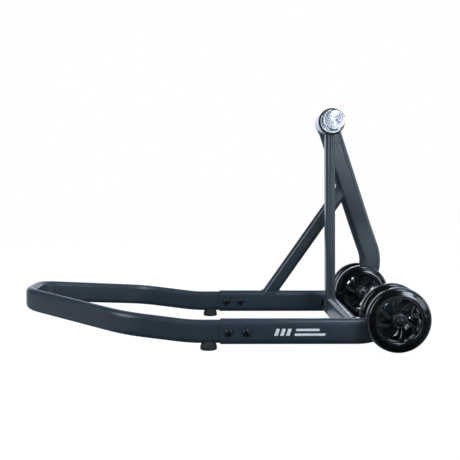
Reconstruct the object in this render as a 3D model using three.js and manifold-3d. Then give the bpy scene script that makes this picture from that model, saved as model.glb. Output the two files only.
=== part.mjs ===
// Single-sided motorcycle paddock stand.
// Millimetres, +Z up. +X points from the hand lever to the wheels, and -Y is the side
// whose lifting pin points outwards. The origin is on the ground, under the middle.

import * as THREE from 'three';
import { mergeVertices } from 'three/addons/utils/BufferGeometryUtils.js';
import Module from 'manifold-3d';

const wasm = await Module();
wasm.setup();

// ---------------------------------------------------------------- driving dimensions

const LENGTH = 714;                    // lever end to the far edge of the wheels
const TRACK = 346;                     // between the middles of the two side tubes
const GAP = 0.3;                       // left between pieces that touch

const OVAL = { height: 44.2, thickness: 22, wall: 1.8 };    // flat-sided oval frame tube
const LEVER = { height: 40, thickness: 17.8, wall: 1.8 };   // slides into the side tubes
const STRUT = { height: 28.6, thickness: 18, wall: 1.8 };   // diagonal brace
const POST = { height: 38, thickness: 19, wall: 1.8 };      // upright under the receiver

const RAIL_Z = 31.3;                   // middle of the side tubes
const JOINT_X = 5;                     // open end of the side tubes, where the lever enters

const WHEEL_RADIUS = 55;
const WHEEL_WIDTH = 26;
const WHEEL_CLEARANCE = 5;             // side tube to wheel
const TREAD_DEPTH = 15;
// half of the tyre's outline: each radius, and how far in it is from the side wall
const TYRE_OUTLINE = [ [ 40, 1.5 ], [ 41.5, 0 ], [ 51.5, 3.4 ], [ 54.1, 7.5 ] ];
const BEARING = { outer: 10.9, inner: 4.4, width: 7 };    // 608 size

const BEND_RADIUS = 85;                // side tubes, where they turn up at the wheels
const BEND_BEFORE_AXLE = 63;           // the bend starts this far in front of the axle
const ARM_LEAN = THREE.MathUtils.degToRad( 20 );          // main arm, back from vertical
const ARM_INWARD = 0.17;               // main arm, sideways run per unit of rise
const ARM_INWARD_START = 10;           // it starts to lean in this far along the arm
const ARM_INWARD_BLEND = 60;
const ARM_SHORT = 10;                  // the arm's open end stops short of the pin's line
const NEAR_SWEEP = THREE.MathUtils.degToRad( 70 );        // where the near side tube stops

const CROSS_BEFORE_AXLE = 69;          // cross tube, clear of the wheels
const CROSS_SEAM_Y = 76;               // cross tube bolts on to its stub here
const CROSS_BOLT_Y = 137;
const SPIGOT_REACH = 40;               // inner sleeve, past the seam into the cross tube
const SPIGOT_STOP = 6;                 // inner sleeve, short of the far side tube
const POST_Y = 102;
const POST_SET_BACK = 2.8;             // post's foot, towards the lever from the cross tube's middle

const PIN = { x: 226, z: 403, nose: 19.8, shoulder: 23.4, shaft: 14 };
const PIN_FACE_Y = 22;                 // flat end of the nose
const RECEIVER = { outer: 24.5, bore: 18, start: 74, end: 146 };

const BRACE_FOOT_X = 114;              // where the brace's middle line leaves the side tube
const BRACE_RISE = THREE.MathUtils.degToRad( 55.5 );

const FOOT_X = - 14.5;
const FOOT = { radius: 14.3, skirt: 4, height: 17.5, chamfer: 1.2, pocket: 5 };
const LEVER_BOLT_X = [ 19.5, 49 ];

// lever, seen from above: straight, a bend inwards, straight, a tight bend, the cross bar
const LEVER_INSERT = 72;               // length inside the side tube
const LEVER_BEND_X = - 122;
const LEVER_BEND_RADIUS = 116;
const LEVER_TAPER = THREE.MathUtils.degToRad( 32.4 );
const LEVER_CORNER_RADIUS = 53;
// lever, seen from the side: level, then a steady climb
const LEVER_CLIMB_X = - 25.4;
const LEVER_CLIMB_BLEND = 40;
const LEVER_CLIMB_ANGLE = THREE.MathUtils.degToRad( 7.21 );

const ARC_DETAIL = 3;                  // each half round of an oval has twice this many sides
const ROUND_DETAIL = 24;               // sides of a turned piece
const WHEEL_DETAIL = 32;
const SMALL_DETAIL = 12;               // sides of a washer, spacer or bolt
const BEND_STEP = THREE.MathUtils.degToRad( 11 );

// worked out from the above
const SIDE_Y = TRACK / 2;
const AXLE_X = LENGTH / 2 - WHEEL_RADIUS;
const BEND_Z = RAIL_Z + BEND_RADIUS;
const BEND_X = AXLE_X - BEND_BEFORE_AXLE;
const CROSS_X = AXLE_X - CROSS_BEFORE_AXLE;
const LEVER_TILT = ( LEVER.height - LEVER.thickness ) / 2 * Math.sin( LEVER_CLIMB_ANGLE );
const LEVER_END_X = - LENGTH / 2 + LEVER.thickness / 2 + LEVER_TILT;
const WHEEL_OFFSET = OVAL.thickness / 2 + WHEEL_CLEARANCE + WHEEL_WIDTH / 2;

// ---------------------------------------------------------------- materials

function finish( color, roughness, metalness ) {

	return () => new THREE.MeshStandardMaterial( { color, roughness, metalness } );

}

const paint = finish( 0x3a444d, 0.42, 0.25 );
const steel = finish( 0xc9ced3, 0.28, 1 );
const zinc = finish( 0x9a9da0, 0.4, 1 );
const blackSteel = finish( 0x15161a, 0.35, 0.8 );
const rubber = finish( 0x121214, 0.8, 0 );
const tyreUrethane = finish( 0x08090a, 0.18, 0 );
const corePlastic = finish( 0x0b0c0e, 0.25, 0 );
const nylon = finish( 0x222326, 0.6, 0 );

// ---------------------------------------------------------------- solids

function solid( geometry ) {

	const bare = geometry.clone();
	bare.deleteAttribute( 'normal' );
	bare.deleteAttribute( 'uv' );
	const merged = mergeVertices( bare, 1e-4 );
	return new wasm.Manifold( new wasm.Mesh( {
		numProp: 3,
		vertProperties: new Float32Array( merged.attributes.position.array ),
		triVerts: new Uint32Array( merged.index.array ),
	} ) );

}

function geometryOf( manifold ) {

	const mesh = manifold.getMesh();
	const geometry = new THREE.BufferGeometry();
	geometry.setAttribute( 'position', new THREE.BufferAttribute( new Float32Array( mesh.vertProperties ), 3 ) );
	geometry.setIndex( new THREE.BufferAttribute( new Uint32Array( mesh.triVerts ), 1 ) );
	geometry.computeVertexNormals();
	return geometry;

}

function cut( geometry, ...tools ) {

	return geometryOf( tools.reduce( ( body, tool ) => body.subtract( solid( tool ) ), solid( geometry ) ) );

}

function join( ...geometries ) {

	return geometryOf( geometries.map( solid ).reduce( ( body, other ) => body.add( other ) ) );

}

function named( name, geometry, material, x = 0, y = 0, z = 0 ) {

	const mesh = new THREE.Mesh( geometry, material );
	mesh.name = name;
	mesh.position.set( x, y, z );
	return mesh;

}

// a straight rod along one axis, used for holes
function rod( radius, length, axis, x, y, z, sides = SMALL_DETAIL ) {

	const geometry = new THREE.CylinderGeometry( radius, radius, length, sides );
	if ( axis === 'x' ) geometry.rotateZ( Math.PI / 2 );
	if ( axis === 'z' ) geometry.rotateX( Math.PI / 2 );
	return geometry.translate( x, y, z );

}

// a ring turned about Y, between two radii and from one Y to another
function ring( inner, outer, from, to, sides = ROUND_DETAIL ) {

	const corners = [ [ inner, from ], [ outer, from ], [ outer, to ], [ inner, to ], [ inner, from ] ];
	return turned( corners, sides );

}

function turned( corners, sides = ROUND_DETAIL ) {

	return new THREE.LatheGeometry( corners.map( ( [ r, y ] ) => new THREE.Vector2( r, y ) ), sides );

}

// ---------------------------------------------------------------- oval tubes

// a path through given points; the tube's flat sides stay square to `side` when it is given
class StationPath extends THREE.Curve {

	constructor( points, side = null ) {

		super();
		this.points = points;
		this.side = side;
		const runs = points.slice( 1 ).map( ( p, i ) => p.clone().sub( points[ i ] ).normalize() );
		this.tangents = points.map( ( _, i ) => {

			const before = runs[ Math.max( i - 1, 0 ) ];
			const after = runs[ Math.min( i, runs.length - 1 ) ];
			return before.clone().add( after ).normalize();

		} );

	}

	blend( list, u, target ) {

		const place = u * ( list.length - 1 );
		const i = Math.min( Math.floor( place ), list.length - 2 );
		return target.lerpVectors( list[ i ], list[ i + 1 ], place - i );

	}

	getPoint( u, target = new THREE.Vector3() ) {

		return this.blend( this.points, u, target );

	}

	getTangent( u, target = new THREE.Vector3() ) {

		return this.blend( this.tangents, u, target ).normalize();

	}

	getUtoTmapping( u ) {

		return u;

	}

	computeFrenetFrames( segments, closed ) {

		if ( this.side === null ) return super.computeFrenetFrames( segments, closed );
		const tangents = [], normals = [], binormals = [];
		for ( let i = 0; i <= segments; i ++ ) {

			const tangent = this.getTangent( i / segments );
			const normal = this.side.clone().cross( tangent ).normalize();
			tangents.push( tangent );
			normals.push( normal );
			binormals.push( tangent.clone().cross( normal ) );

		}

		return { tangents, normals, binormals };

	}

}

function traceOval( outline, height, thickness ) {

	const r = thickness / 2, a = height / 2 - r;
	outline.moveTo( - a, - r );
	outline.lineTo( a, - r );
	outline.absarc( a, 0, r, - Math.PI / 2, Math.PI / 2, false );
	outline.lineTo( - a, r );
	outline.absarc( - a, 0, r, Math.PI / 2, 1.5 * Math.PI, false );
	return outline;

}

function sweepOval( tube, path, { grow = 0, hollow = true } = {} ) {

	const { height, thickness, wall } = tube;
	const shape = traceOval( new THREE.Shape(), height + 2 * grow, thickness + 2 * grow );
	if ( hollow ) shape.holes.push( traceOval( new THREE.Path(), height - 2 * wall, thickness - 2 * wall ) );

	return new THREE.ExtrudeGeometry( shape, {
		steps: path.points.length - 1, curveSegments: ARC_DETAIL, extrudePath: path,
	} );

}

const ALONG_Y = new THREE.Vector3( 0, 1, 0 );
const ALONG_X = new THREE.Vector3( 1, 0, 0 );
const at = ( x, y, z ) => new THREE.Vector3( x, y, z );

// turning stations of an arc, from one angle to another
function angles( from, to ) {

	const count = Math.ceil( Math.abs( to - from ) / BEND_STEP );
	return Array.from( { length: count + 1 }, ( _, i ) => from + ( to - from ) * i / count );

}

// a run that starts straight, bends over `width`, then goes on at a constant rate
function easedRun( distance, width ) {

	if ( distance <= 0 ) return 0;
	return distance < width ? distance * distance / ( 2 * width ) : distance - width / 2;

}

const bendPoint = ( angle, y ) =>
	at( BEND_X + BEND_RADIUS * Math.sin( angle ), y, BEND_Z - BEND_RADIUS * Math.cos( angle ) );

// ---------------------------------------------------------------- frame

const sideStart = y => at( JOINT_X, y, RAIL_Z );

const nearPath = new StationPath(
	[ sideStart( - SIDE_Y ), ...angles( 0, NEAR_SWEEP ).map( a => bendPoint( a, - SIDE_Y ) ) ], ALONG_Y );

// the far side tube carries on past vertical as the main arm and leans in to the receiver
const ARM_SWEEP = Math.PI / 2 + ARM_LEAN;
const armStart = bendPoint( ARM_SWEEP, SIDE_Y );
const armLength = ( PIN.z - armStart.z ) / Math.cos( ARM_LEAN ) - ARM_SHORT;

function armPoint( distance ) {

	return at(
		armStart.x - distance * Math.sin( ARM_LEAN ),
		SIDE_Y - ARM_INWARD * easedRun( distance - ARM_INWARD_START, ARM_INWARD_BLEND ),
		armStart.z + distance * Math.cos( ARM_LEAN ) );

}

const armDistances = [ 10, 25, 40, 55, 70, armLength ];
const farPath = new StationPath( [
	sideStart( SIDE_Y ), ...angles( 0, ARM_SWEEP ).map( a => bendPoint( a, SIDE_Y ) ),
	...armDistances.map( armPoint ) ], ALONG_Y );

const crossPath = ( from, to ) =>
	new StationPath( [ at( CROSS_X, from, RAIL_Z ), at( CROSS_X, to, RAIL_Z ) ], at( - 1, 0, 0 ) );
const postPath = new StationPath(
	[ at( CROSS_X - POST_SET_BACK, POST_Y, RAIL_Z ), at( PIN.x, POST_Y, PIN.z ) ], ALONG_X );

// the brace runs from inside the side tube to the middle of the arm
const braceFoot = at( BRACE_FOOT_X, SIDE_Y, RAIL_Z + OVAL.height / 2 );
const armAlong = { x: - Math.sin( ARM_LEAN ), z: Math.cos( ARM_LEAN ) };
const braceAlong = { x: Math.cos( BRACE_RISE ), z: Math.sin( BRACE_RISE ) };
const reach = armStart.clone().sub( braceFoot );
const braceMeets = ( reach.x * braceAlong.z - reach.z * braceAlong.x )
	/ ( armAlong.z * braceAlong.x - armAlong.x * braceAlong.z );
const braceTop = armPoint( braceMeets );
const braceDrop = OVAL.height / 2 / ( braceTop.z - braceFoot.z );
const bracePath = new StationPath(
	[ braceFoot.clone().lerp( braceTop, - braceDrop ), braceTop ], ALONG_Y );

const railFace = SIDE_Y - OVAL.thickness / 2;
const nearBar = sweepOval( OVAL, nearPath, { grow: GAP, hollow: false } );
const farBar = sweepOval( OVAL, farPath, { grow: GAP, hollow: false } );
const stubBar = sweepOval( OVAL, crossPath( CROSS_SEAM_Y, railFace ), { grow: GAP, hollow: false } );
const receiverLength = RECEIVER.end - RECEIVER.start;
const receiverMiddle = RECEIVER.start + receiverLength / 2;
const receiverBar = rod(
	RECEIVER.outer + GAP, 2 * receiverLength, 'y', PIN.x, receiverMiddle, PIN.z, ROUND_DETAIL );

const M8_HOLE = 4.4;
const throughSide = ( x, z, y ) => rod( M8_HOLE, 2 * OVAL.thickness, 'y', x, y, z );

function sideTube( path, y ) {

	const axleHole = throughSide( AXLE_X, WHEEL_RADIUS, y );
	const leverHoles = LEVER_BOLT_X.map( x => throughSide( x, RAIL_Z, y ) );
	return cut( sweepOval( OVAL, path ), axleHole, ...leverHoles );

}

const nearSideTube = sideTube( nearPath, - SIDE_Y );
const farSideTube = cut( sideTube( farPath, SIDE_Y ), receiverBar );

const crossBoltHole = rod( M8_HOLE, 2 * OVAL.thickness, 'x', CROSS_X, CROSS_BOLT_Y, RAIL_Z );
const crossTube = sweepOval( OVAL, crossPath( - railFace + GAP, CROSS_SEAM_Y - GAP / 2 ) );
const crossStub = cut(
	sweepOval( OVAL, crossPath( CROSS_SEAM_Y + GAP / 2, railFace - GAP ) ), crossBoltHole );
const crossSpigot = cut(
	sweepOval( LEVER, crossPath( CROSS_SEAM_Y - SPIGOT_REACH, railFace - SPIGOT_STOP ) ), crossBoltHole );
const postTube = cut( sweepOval( POST, postPath ), stubBar, receiverBar );
const braceTube = cut( sweepOval( STRUT, bracePath ), farBar );

// ---------------------------------------------------------------- hand lever

function leverHeight( x ) {

	return RAIL_Z + Math.tan( LEVER_CLIMB_ANGLE ) * easedRun( LEVER_CLIMB_X - x, LEVER_CLIMB_BLEND );

}

function leverHalf() {

	const plan = [ [ JOINT_X + LEVER_INSERT, - SIDE_Y ] ];
	for ( let i = 0; i <= 3; i ++ ) plan.push( [ LEVER_CLIMB_X - LEVER_CLIMB_BLEND * i / 3, - SIDE_Y ] );
	for ( const a of angles( 0, LEVER_TAPER ) ) plan.push( [
		LEVER_BEND_X - LEVER_BEND_RADIUS * Math.sin( a ),
		- SIDE_Y + LEVER_BEND_RADIUS * ( 1 - Math.cos( a ) ) ] );
	const [ fromX, fromY ] = plan[ plan.length - 1 ];
	const cornerX = LEVER_END_X + LEVER_CORNER_RADIUS * ( 1 - Math.sin( LEVER_TAPER ) );
	const cornerY = fromY + ( fromX - cornerX ) * Math.tan( LEVER_TAPER );
	for ( const a of angles( LEVER_TAPER, Math.PI / 2 ) ) plan.push( [
		cornerX + LEVER_CORNER_RADIUS * ( Math.sin( LEVER_TAPER ) - Math.sin( a ) ),
		cornerY + LEVER_CORNER_RADIUS * ( Math.cos( LEVER_TAPER ) - Math.cos( a ) ) ] );
	return plan.map( ( [ x, y ] ) => at( x, y, leverHeight( x ) ) );

}

const nearHalf = leverHalf();
const farHalf = nearHalf.map( p => at( p.x, - p.y, p.z ) ).reverse();
const leverPath = new StationPath( [ ...nearHalf, ...farHalf ] );
const leverBar = sweepOval( LEVER, leverPath, { grow: GAP, hollow: false } );

const M5_HOLE = 2.9;
const leverHoles = [ - SIDE_Y, SIDE_Y ].flatMap( y => [
	...LEVER_BOLT_X.map( x => throughSide( x, RAIL_Z, y ) ),
	rod( M5_HOLE, LEVER.thickness / 2, 'z', FOOT_X, y, RAIL_Z - LEVER.height / 2 ) ] );
const leverTube = cut( sweepOval( LEVER, leverPath ), ...leverHoles );

// ---------------------------------------------------------------- fasteners, all along +Y

const M8 = { shank: 4, headRadius: 7, headHeight: 4.4, across: 13 };
const WASHER = { inner: 4.4, outer: 8.4, thickness: 1.6 };
const NUT_HEIGHT = 8;
const NUT_FLATS = 0.75;                // share of the nut's height that is hexagon
const THREAD_SHOWING = 2;              // bolt past its nut

const HEAD_EDGE = 0.25;                // share of the head's height that is its straight edge
const SOCKET = { depth: 0.6, radius: 0.66 };    // shares of the head's height and of the shank

// a domed head with a hexagon socket; the shank starts at y = 0 and the head is at y < 0
function buttonBolt( length, size = M8 ) {

	const { shank, headRadius, headHeight } = size;
	const dome = [ 0, 35, 65, 90 ].map( THREE.MathUtils.degToRad ).map( a => [
		headRadius * Math.sin( a ), - headHeight * ( HEAD_EDGE + ( 1 - HEAD_EDGE ) * Math.cos( a ) ) ] );
	const chamfer = shank / 5;
	const body = turned( [ ...dome, [ headRadius, 0 ], [ shank, 0 ], [ shank, length - chamfer ],
		[ shank - chamfer, length ], [ 0, length ] ], SMALL_DETAIL );
	const key = shank * SOCKET.radius;
	const socket = new THREE.CylinderGeometry( key, key, 2 * SOCKET.depth * headHeight, 6 );
	return cut( body, socket.translate( 0, - headHeight, 0 ) );

}

// a hexagon with a round collar, from y = 0 to NUT_HEIGHT
function lockNut( across = M8.across, bore = M8_HOLE ) {

	const corner = across / Math.sqrt( 3 );
	const collar = across / 2 - 0.4;
	const flats = NUT_HEIGHT * NUT_FLATS;
	const hexagon = new THREE.CylinderGeometry( corner, corner, flats, 6 ).translate( 0, flats / 2, 0 );
	const top = ring( bore / 2, collar, flats / 2, NUT_HEIGHT, SMALL_DETAIL );
	return cut( join( hexagon, top ), rod( bore, 3 * NUT_HEIGHT, 'y', 0, 0, 0 ) );

}

// ---------------------------------------------------------------- feet

const FOOT_SCREW = { shank: 2.5, headRadius: 4.8, headHeight: 2.6, length: 18 };

// a dome on its flat side, hollowed on top to fit round the lever
function foot( y ) {

	const { radius, skirt, height, chamfer, pocket } = FOOT;
	const dome = [ 0, 30, 55, 75 ].map( THREE.MathUtils.degToRad ).map( a => [
		radius * Math.cos( a ), skirt + ( height - skirt ) * Math.sin( a ) ] );
	const body = turned( [ [ 0, 0 ], [ radius - chamfer, 0 ], [ radius, chamfer ], ...dome, [ 0, height ] ] );
	return cut(
		body.rotateX( Math.PI / 2 ).translate( FOOT_X, y, 0 ),
		rod( FOOT_SCREW.headRadius + 1, 2 * pocket, 'z', FOOT_X, y, 0 ),
		rod( M5_HOLE, 3 * height, 'z', FOOT_X, y, 0 ),
		leverBar );

}

// ---------------------------------------------------------------- wheels

const CORE_RADIUS = WHEEL_RADIUS - TREAD_DEPTH;
const RIM = { depth: 4, inset: 2.5 };
const HUB = { radius: 15, half: 12.5, seat: 11.2, web: 8.5 };
const SLEEVE = { thin: 6.4, thick: 7 };         // outer radii of the sleeves on an axle bolt
const SPOKES = 8;
const SPOKE_SKEW = THREE.MathUtils.degToRad( 27 );
const SPOKE = { inner: 13, outer: 38, half: 2.6, depth: 15 };

function tyre() {

	const half = WHEEL_WIDTH / 2;
	const front = TYRE_OUTLINE.map( ( [ radius, inset ] ) => [ radius, inset - half ] );
	const back = front.map( ( [ radius, y ] ) => [ radius, - y ] ).reverse();
	return turned( [ ...front, [ WHEEL_RADIUS, 0 ], ...back, front[ 0 ] ], WHEEL_DETAIL );

}

// one curved bar from hub to rim, in the wheel's plane
function spokeShape() {

	const rows = [ 0, 0.5, 1 ].map( t => {

		const radius = THREE.MathUtils.lerp( SPOKE.inner, SPOKE.outer, t );
		return { radius, angle: SPOKE_SKEW * ( 1 - t ), spread: SPOKE.half / radius };

	} );
	const edge = sign => rows.map( ( { radius, angle, spread } ) => new THREE.Vector2(
		radius * Math.cos( angle + sign * spread ), radius * Math.sin( angle + sign * spread ) ) );
	return new THREE.Shape( [ ...edge( - 1 ), ...edge( 1 ).reverse() ] );

}

function wheelCore() {

	const rimEdge = WHEEL_WIDTH / 2 - RIM.inset;
	const rim = ring( CORE_RADIUS - RIM.depth, CORE_RADIUS - GAP, - rimEdge, rimEdge, WHEEL_DETAIL );
	const spokes = Array.from( { length: SPOKES }, ( _, i ) =>
		new THREE.ExtrudeGeometry( spokeShape(), { depth: SPOKE.depth, bevelEnabled: false } )
			.translate( 0, 0, - SPOKE.depth / 2 ).rotateZ( i * 2 * Math.PI / SPOKES ).rotateX( Math.PI / 2 ) );
	const seat = HUB.half - BEARING.width - GAP;    // the bearings stop against a web here
	const hub = turned( [ [ HUB.seat, - HUB.half ], [ HUB.radius, - HUB.half ], [ HUB.radius, HUB.half ],
		[ HUB.seat, HUB.half ], [ HUB.seat, seat ], [ HUB.web, seat ], [ HUB.web, - seat ],
		[ HUB.seat, - seat ], [ HUB.seat, - HUB.half ] ], 16 );
	return join( rim, hub, ...spokes );

}

// a wheel and its bearings, on the axle line; `label` starts each piece's name
function wheel( label, y ) {

	const group = new THREE.Group();
	group.position.set( AXLE_X, y, WHEEL_RADIUS );
	const { inner, outer, width } = BEARING;
	const near = - HUB.half;
	const sleeveEnd = HUB.half - width - GAP;
	group.add(
		named( `${label}_tyre`, tyre(), tyreUrethane() ),
		named( `${label}_core`, wheelCore(), corePlastic() ),
		named( `${label}_bearing_a`, ring( inner, outer, near, near + width, 16 ), steel() ),
		named( `${label}_bearing_b`, ring( inner, outer, - near - width, - near, 16 ), steel() ),
		named( `${label}_bearing_spacer`,
			ring( inner, SLEEVE.thin, - sleeveEnd, sleeveEnd, SMALL_DETAIL ), zinc() ) );
	return group;

}

// the two wheels of one side tube and everything on their axle bolt; side is -1 near, 1 far
function axle( label, side ) {

	const group = new THREE.Group();
	const outerY = side * ( SIDE_Y + WHEEL_OFFSET ), innerY = side * ( SIDE_Y - WHEEL_OFFSET );
	group.add( wheel( `${label}_outer_wheel`, outerY ), wheel( `${label}_inner_wheel`, innerY ) );

	const line = new THREE.Group();                     // along the bolt, from its head inwards
	line.position.set( AXLE_X, outerY + side * ( HUB.half + GAP ), WHEEL_RADIUS );
	if ( side > 0 ) line.rotation.z = Math.PI;
	const wheelSpan = 2 * ( HUB.half + GAP ), between = 2 * WHEEL_OFFSET;
	const nutStart = between + wheelSpan + WASHER.thickness + GAP;
	const spacerLength = WHEEL_OFFSET - OVAL.thickness / 2 - HUB.half - 2 * GAP;
	const washer = from => ring( WASHER.inner, WASHER.outer, from, from + WASHER.thickness, SMALL_DETAIL );
	const sleeve = from => ring( WASHER.inner, SLEEVE.thick, from, from + spacerLength, SMALL_DETAIL );
	const boltLength = nutStart + WASHER.thickness + GAP + NUT_HEIGHT + THREAD_SHOWING;
	const bolt = named( `${label}_axle_bolt`, buttonBolt( boltLength ),
		blackSteel(), 0, - WASHER.thickness - GAP, 0 );
	line.add(
		bolt,
		named( `${label}_axle_washer`, washer( - WASHER.thickness ), blackSteel() ),
		named( `${label}_axle_nut_washer`, washer( between + wheelSpan ), zinc() ),
		named( `${label}_axle_nut`, lockNut(), zinc(), 0, nutStart, 0 ),
		named( `${label}_outer_spacer`, sleeve( wheelSpan ), zinc() ),
		named( `${label}_inner_spacer`, sleeve( between - spacerLength ), zinc() ) );
	group.add( line );
	return group;

}

// ---------------------------------------------------------------- receiver and pin

const SHOULDER = { start: 62, end: 67 };
const RING_WALL = { start: SHOULDER.end + GAP, end: RECEIVER.start - GAP };
const RING_RADIUS = 26.2;
const PIN_END_Y = 138;
const GROOVE = { y: 118, half: 1.8, radius: 11.8 };
const BUSH = { clearance: 0.5, inset: 1 };

const NOSE_CHAMFER = 2.2;
const liftingPin = turned( [
	[ 0, PIN_FACE_Y ], [ PIN.nose - NOSE_CHAMFER, PIN_FACE_Y ], [ PIN.nose, PIN_FACE_Y + NOSE_CHAMFER ],
	[ PIN.nose, SHOULDER.start ], [ PIN.shoulder - 1, SHOULDER.start ], [ PIN.shoulder, SHOULDER.start + 1 ],
	[ PIN.shoulder, SHOULDER.end ], [ PIN.shaft, SHOULDER.end ],
	[ PIN.shaft, GROOVE.y - GROOVE.half ], [ GROOVE.radius, GROOVE.y - GROOVE.half ],
	[ GROOVE.radius, GROOVE.y + GROOVE.half ], [ PIN.shaft, GROOVE.y + GROOVE.half ],
	[ PIN.shaft, PIN_END_Y - 2 ], [ PIN.shaft - 2, PIN_END_Y ], [ 0, PIN_END_Y ] ] );
const pinRing = ring( PIN.shaft + GAP, RING_RADIUS, RING_WALL.start, RING_WALL.end );
const sealHalf = GROOVE.half - GAP;
const pinSeal = ring( GROOVE.radius + GAP, PIN.shaft + 0.1, GROOVE.y - sealHalf, GROOVE.y + sealHalf );
const receiverTube = ring( RECEIVER.bore, RECEIVER.outer, RECEIVER.start, RECEIVER.end );
const receiverBush = ring(
	PIN.shaft + BUSH.clearance, RECEIVER.bore - BUSH.clearance,
	RECEIVER.start + BUSH.inset, RECEIVER.end - BUSH.inset );

// ---------------------------------------------------------------- assembly

const stand = new THREE.Group();

const frame = new THREE.Group();
frame.add(
	named( 'near_side_tube', nearSideTube, paint() ),
	named( 'far_side_tube', farSideTube, paint() ),
	named( 'cross_tube', crossTube, paint() ),
	named( 'cross_stub', crossStub, paint() ),
	named( 'cross_spigot', crossSpigot, paint() ),
	named( 'post_tube', postTube, paint() ),
	named( 'brace_tube', braceTube, paint() ),
	named( 'lever_tube', leverTube, paint() ) );
stand.add( frame );

// plastic plug in the upturned end of the near side tube
const CAP = { flange: 3, plug: 8, overlap: 2 };
const slab = ( tube, depth ) => new THREE.ExtrudeGeometry(
	traceOval( new THREE.Shape(), tube.height, tube.thickness ),
	{ depth, bevelEnabled: false, curveSegments: ARC_DETAIL } );
const capFlange = slab( OVAL, CAP.flange );
const capPlug = slab( LEVER, CAP.plug + CAP.overlap ).translate( 0, 0, - CAP.plug );
const endCap = named( 'near_tube_end_cap', join( capFlange, capPlug ), nylon() );
const capSeat = new THREE.Object3D();
capSeat.position.copy( bendPoint( NEAR_SWEEP, - SIDE_Y ) );
const capFacing = nearPath.getTangent( 1 );
capSeat.rotation.y = Math.atan2( capFacing.x, capFacing.z );
endCap.position.z = GAP;
capSeat.add( endCap );
stand.add( capSeat );

const LEVER_BOLT_LENGTH = OVAL.thickness + NUT_HEIGHT + THREAD_SHOWING + 1;
const CROSS_BOLT = { ...M8, headHeight: 3.6 };
const CROSS_NUT_ACROSS = 15;

for ( const [ label, y ] of [ [ 'near', - SIDE_Y ], [ 'far', SIDE_Y ] ] ) {

	stand.add( named( `${label}_foot`, foot( y ), rubber() ) );
	const screw = named(
		`${label}_foot_screw`, buttonBolt( FOOT_SCREW.length, FOOT_SCREW ), zinc(), FOOT_X, y, FOOT.pocket - GAP );
	screw.rotation.x = Math.PI / 2;
	stand.add( screw );

	LEVER_BOLT_X.forEach( ( x, i ) => {

		const face = y - OVAL.thickness / 2 - GAP, back = y + OVAL.thickness / 2 + GAP;
		stand.add(
			named( `${label}_lever_bolt_${i + 1}`,
				buttonBolt( LEVER_BOLT_LENGTH ), blackSteel(), x, face, RAIL_Z ),
			named( `${label}_lever_nut_${i + 1}`, lockNut(), zinc(), x, back, RAIL_Z ) );

	} );

}

// the cross bolt's head is on the wheel side of the stub and its nut on the lever side
const crossFastener = new THREE.Group();
crossFastener.position.set( CROSS_X + OVAL.thickness / 2 + GAP, CROSS_BOLT_Y, RAIL_Z );
crossFastener.rotation.z = Math.PI / 2;
crossFastener.add(
	named( 'cross_bolt', buttonBolt( LEVER_BOLT_LENGTH + 1, CROSS_BOLT ), blackSteel() ),
	named( 'cross_nut', lockNut( CROSS_NUT_ACROSS ), blackSteel(), 0, OVAL.thickness + 2 * GAP, 0 ) );
stand.add( crossFastener );

const top = new THREE.Group();
top.position.set( PIN.x, 0, PIN.z );
top.add(
	named( 'receiver_tube', receiverTube, steel() ),
	named( 'receiver_bush', receiverBush, nylon() ),
	named( 'pin_ring', pinRing, rubber() ),
	named( 'pin_seal', pinSeal, rubber() ),
	named( 'lifting_pin', liftingPin, steel() ) );
stand.add( top );

stand.add( axle( 'near', - 1 ), axle( 'far', 1 ) );

export default stand;
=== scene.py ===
"""Looks for the paddock stand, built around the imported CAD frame. Metres, +Z up."""
import math

import bmesh
import bpy
from mathutils import Matrix, Vector
from mathutils.bvhtree import BVHTree


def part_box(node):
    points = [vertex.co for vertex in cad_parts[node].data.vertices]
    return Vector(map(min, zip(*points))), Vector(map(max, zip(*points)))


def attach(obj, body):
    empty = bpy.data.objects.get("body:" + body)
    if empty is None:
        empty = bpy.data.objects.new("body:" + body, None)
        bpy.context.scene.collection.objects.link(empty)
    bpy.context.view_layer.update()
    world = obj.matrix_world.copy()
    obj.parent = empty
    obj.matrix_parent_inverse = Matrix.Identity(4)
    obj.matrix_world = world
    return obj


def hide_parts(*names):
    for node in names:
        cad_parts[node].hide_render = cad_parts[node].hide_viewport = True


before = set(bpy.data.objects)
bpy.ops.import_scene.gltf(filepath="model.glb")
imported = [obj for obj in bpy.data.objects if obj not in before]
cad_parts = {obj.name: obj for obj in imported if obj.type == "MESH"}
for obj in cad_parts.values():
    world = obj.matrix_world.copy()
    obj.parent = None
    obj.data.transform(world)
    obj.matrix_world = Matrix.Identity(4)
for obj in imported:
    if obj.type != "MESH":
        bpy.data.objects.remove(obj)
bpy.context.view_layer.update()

MM = 0.001
rad = math.radians

# ------------------------------------------------------------------ dimensions, as in the CAD (mm)

SIDE_Y = 173.0
OVAL = (44.2, 22.0, 1.8)            # height, thickness, wall
LEVER = (40.0, 17.8, 1.8)
STRUT = (28.6, 18.0, 1.8)
POST = (38.0, 19.0, 1.8)
RAIL_Z = 31.3
JOINT_X = 5.0
AXLE_X, WHEEL_R, WHEEL_W = 302.0, 55.0, 26.0
CORE_R = 40.0
BEND_R, BEND_X, BEND_Z = 85.0, 239.0, 116.3
ARM_LEAN = rad(20)
ARM_INWARD, ARM_START, ARM_BLEND = 0.17, 10.0, 60.0
NEAR_SWEEP = rad(70)
CROSS_X, SEAM_Y, CROSS_BOLT_Y = 233.0, 76.0, 137.0
POST_Y, POST_FOOT_X = 102.0, 230.2
PIN_X, PIN_Z, PIN_FACE_Y = 226.0, 403.0, 22.0
NOSE_R, SHOULDER_R, SHAFT_R, PIN_WASHER_R = 19.8, 23.4, 14, 26.2
RECEIVER_R, RECEIVER_BORE, RECEIVER_FROM, RECEIVER_TO = 24.5, 18, 74, 146
RECEIVER_SEAT_R = 23.7              # tubes welded to the receiver are cut back to this radius
BRACE_FOOT_X, BRACE_RISE = 114.0, rad(55.5)
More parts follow.
